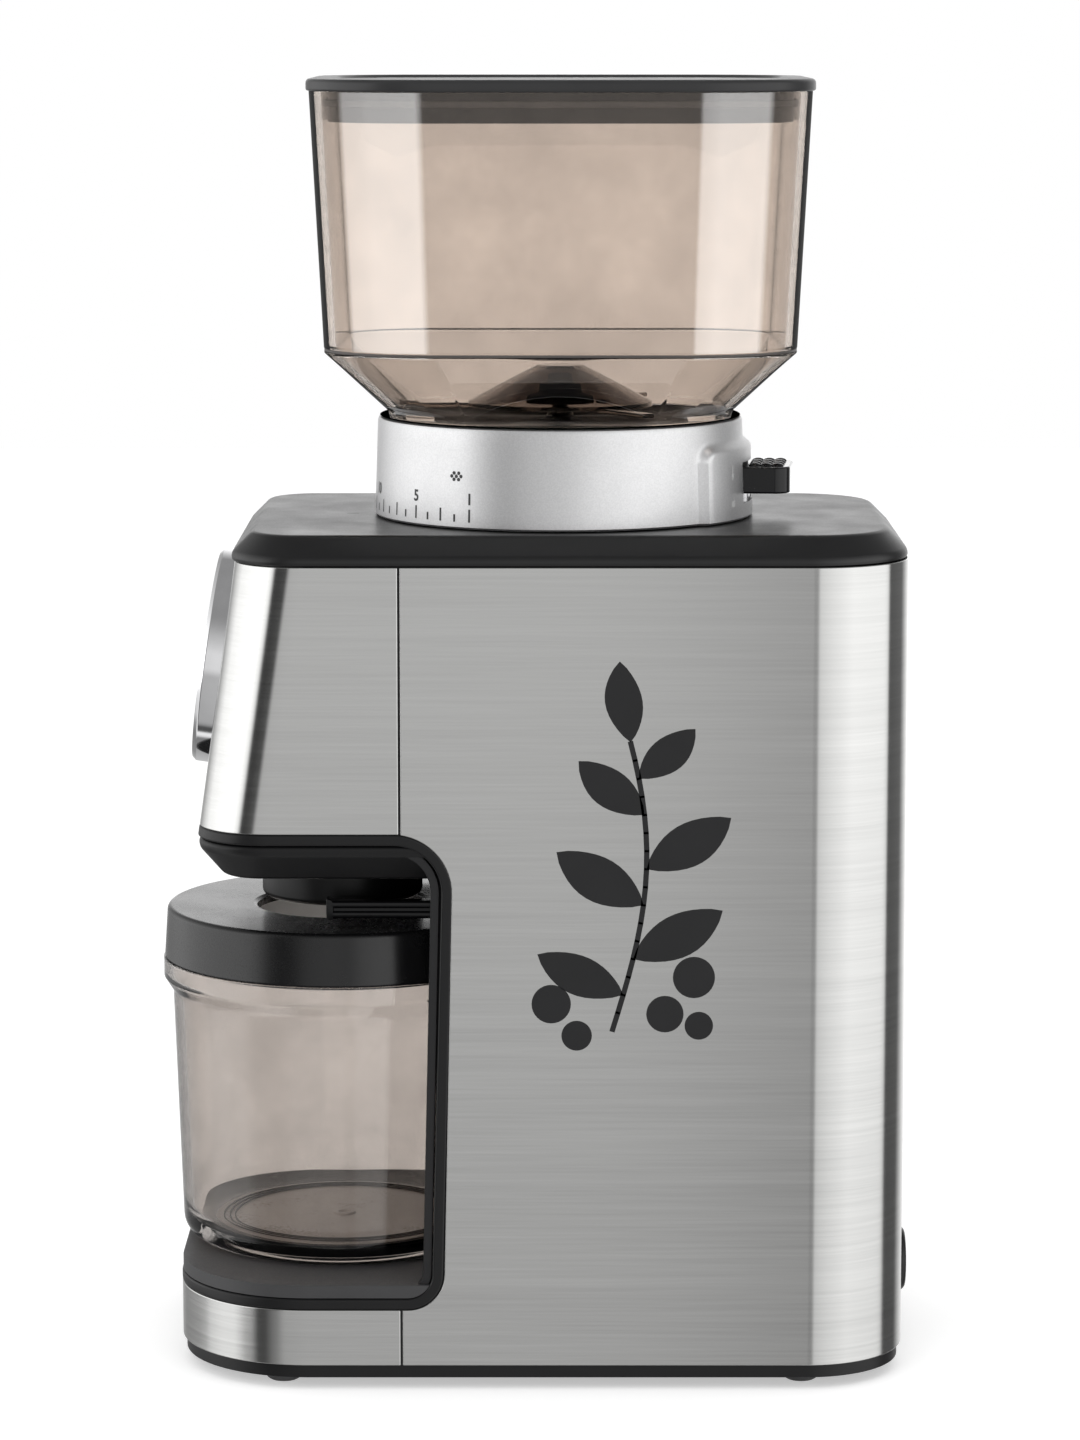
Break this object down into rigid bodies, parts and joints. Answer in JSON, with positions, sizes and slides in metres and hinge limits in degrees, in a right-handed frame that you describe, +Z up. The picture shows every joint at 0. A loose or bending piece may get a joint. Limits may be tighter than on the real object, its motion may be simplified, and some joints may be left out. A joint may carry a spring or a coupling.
{
  "type": "burr coffee grinder",
  "caption": "Upright conical burr coffee grinder: steel-skinned body, open bay with a lidded jar under a spout and portafilter fork, stepped grind collar, clear lift-off hopper.",
  "frame": {"origin": "on the surface the grinder stands on, below the middle of its overall box", "axes": "+X to the width, -Y towards the front with the jar, +Y to the back with the lead's inlet, +Z up"},
  "size_m": [0.136, 0.2296, 0.3872],
  "materials": {
    "brushed_skin": "horizontally brushed stainless steel",
    "black_satin": "satin moulded plastic",
    "black_gloss": "polished moulded plastic",
    "grey_satin": "satin dark grey moulded plastic",
    "black_housing": "moulded plastic, fine texture",
    "silver_paint": "fine metallic silver paint",
    "chrome_trim": "bright plated",
    "smoked_clear": "smoke-brown transparent plastic",
    "burr_steel": "ground steel",
    "cast_alloy": "die-cast alloy",
    "gear_plastic": "natural nylon",
    "pinion_brass": "machined brass",
    "motor_plate": "zinc plated steel",
    "foot_rubber": "soft rubber",
    "board": "coated circuit board"
  },
  "bodies": {
    "body": {"base_plate": "black_satin", "rubber_feet": "foot_rubber", "cord_cleats": "black_housing", "base_screws": "burr_steel", "base_skin": "brushed_skin", "rear_skin": "brushed_skin", "head_skin": "brushed_skin", "base_housing": "black_housing", "column_housing": "black_housing", "head_housing": "black_housing", "bay_trim": "black_satin", "bay_liner": "black_satin", "head_pan": "black_satin", "jar_platform": "grey_satin", "top_cap": "black_satin", "cord_gland": "black_satin", "spout": "black_satin", "portafilter_fork": "black_satin", "grind_chamber": "black_housing", "outlet_duct": "black_housing", "gearbox_case": "cast_alloy", "gearbox_cover": "cast_alloy", "upper_bearing": "burr_steel", "lower_bearing": "burr_steel", "idler_pin": "burr_steel", "motor_can": "motor_plate", "motor_end_cap": "black_housing", "motor_mounts": "foot_rubber", "control_board": "board", "power_board": "board", "hopper_switch": "black_housing", "panel_bezel": "chrome_trim", "panel_face": "black_satin", "display_lens": "black_gloss"},
    "grind_collar": {"grind_ring": "silver_paint", "lever_spring": "burr_steel"},
    "release_lever": {"release_lever": "black_gloss"},
    "upper_burr": {"burr_carrier": "cast_alloy", "ring_burr": "burr_steel"},
    "burr_drive": {"cone_burr": "burr_steel", "burr_nut": "black_gloss", "sweeper": "black_housing", "burr_shaft": "burr_steel", "output_gear": "gear_plastic"},
    "idler": {"idler_gear": "gear_plastic"},
    "motor_rotor": {"motor_shaft": "burr_steel", "motor_pinion": "pinion_brass", "cooling_fan": "black_housing"},
    "hopper": {"hopper_tub": "smoked_clear", "hopper_base": "black_satin", "bean_guard": "smoked_clear"},
    "hopper_lid": {"hopper_lid": "black_gloss", "lid_seal": "foot_rubber"},
    "jar": {"jar": "smoked_clear", "jar_lid": "black_satin"},
    "start_button": {"start_button": "chrome_trim"},
    "minus_button": {"minus_button": "chrome_trim"},
    "plus_button": {"plus_button": "chrome_trim"},
    "mode_button": {"mode_button": "chrome_trim"}
  },
  "joints": [
    {"name": "collar_turn", "type": "hinge", "parent": "body", "child": "grind_collar", "pos_m": [0, 0.0073, 0.27], "axis": [0, 0, 1], "range_deg": [-61, 119]},
    {"name": "lever_press", "type": "slide", "parent": "grind_collar", "child": "release_lever", "axis": [0, 0, -1], "range_m": [0, 0.0025], "stiffness_N_per_m": 1500, "springref_m": -0.002, "deforming": ["lever_spring"]},
    {"name": "upper_burr_feed", "type": "slide", "parent": "body", "child": "upper_burr", "axis": [0, 0, 1], "range_m": [-0.0005, 0.0009]},
    {"name": "burr_spin", "type": "hinge", "parent": "body", "child": "burr_drive", "pos_m": [0, 0.0073, 0.24], "axis": [0, 0, 1], "continuous": true},
    {"name": "idler_spin", "type": "hinge", "parent": "body", "child": "idler", "pos_m": [0, 0.0418, 0.2], "axis": [0, 0, 1], "continuous": true},
    {"name": "motor_spin", "type": "hinge", "parent": "body", "child": "motor_rotor", "pos_m": [0, 0.0703, 0.2], "axis": [0, 0, 1], "continuous": true},
    {"name": "hopper_lift", "type": "slide", "parent": "grind_collar", "child": "hopper", "axis": [0, 0, 1], "range_m": [0, 0.06]},
    {"name": "hopper_lid_lift", "type": "slide", "parent": "hopper", "child": "hopper_lid", "axis": [0, 0, 1], "range_m": [0, 0.04]},
    {"name": "jar_slide", "type": "slide", "parent": "body", "child": "jar", "axis": [0, -1, 0], "range_m": [0, 0.13]},
    {"name": "start_button_press", "type": "slide", "parent": "body", "child": "start_button", "axis": [0, 0.99, -0.1409], "range_m": [0, 0.001], "stiffness_N_per_m": 1200, "springref_m": -0.001},
    {"name": "minus_button_press", "type": "slide", "parent": "body", "child": "minus_button", "axis": [0, 0.99, -0.1409], "range_m": [0, 0.001], "stiffness_N_per_m": 1200, "springref_m": -0.001},
    {"name": "plus_button_press", "type": "slide", "parent": "body", "child": "plus_button", "axis": [0, 0.99, -0.1409], "range_m": [0, 0.001], "stiffness_N_per_m": 1200, "springref_m": -0.001},
    {"name": "mode_button_press", "type": "slide", "parent": "body", "child": "mode_button", "axis": [0, 0.99, -0.1409], "range_m": [0, 0.001], "stiffness_N_per_m": 1200, "springref_m": -0.001}
  ],
  "couplings": [
    {"joint": "upper_burr_feed", "follows": "collar_turn", "m_per_rad": 0.000318},
    {"joint": "idler_spin", "follows": "burr_spin", "ratio": -3.6},
    {"joint": "motor_spin", "follows": "burr_spin", "ratio": 12.185}
  ]
}
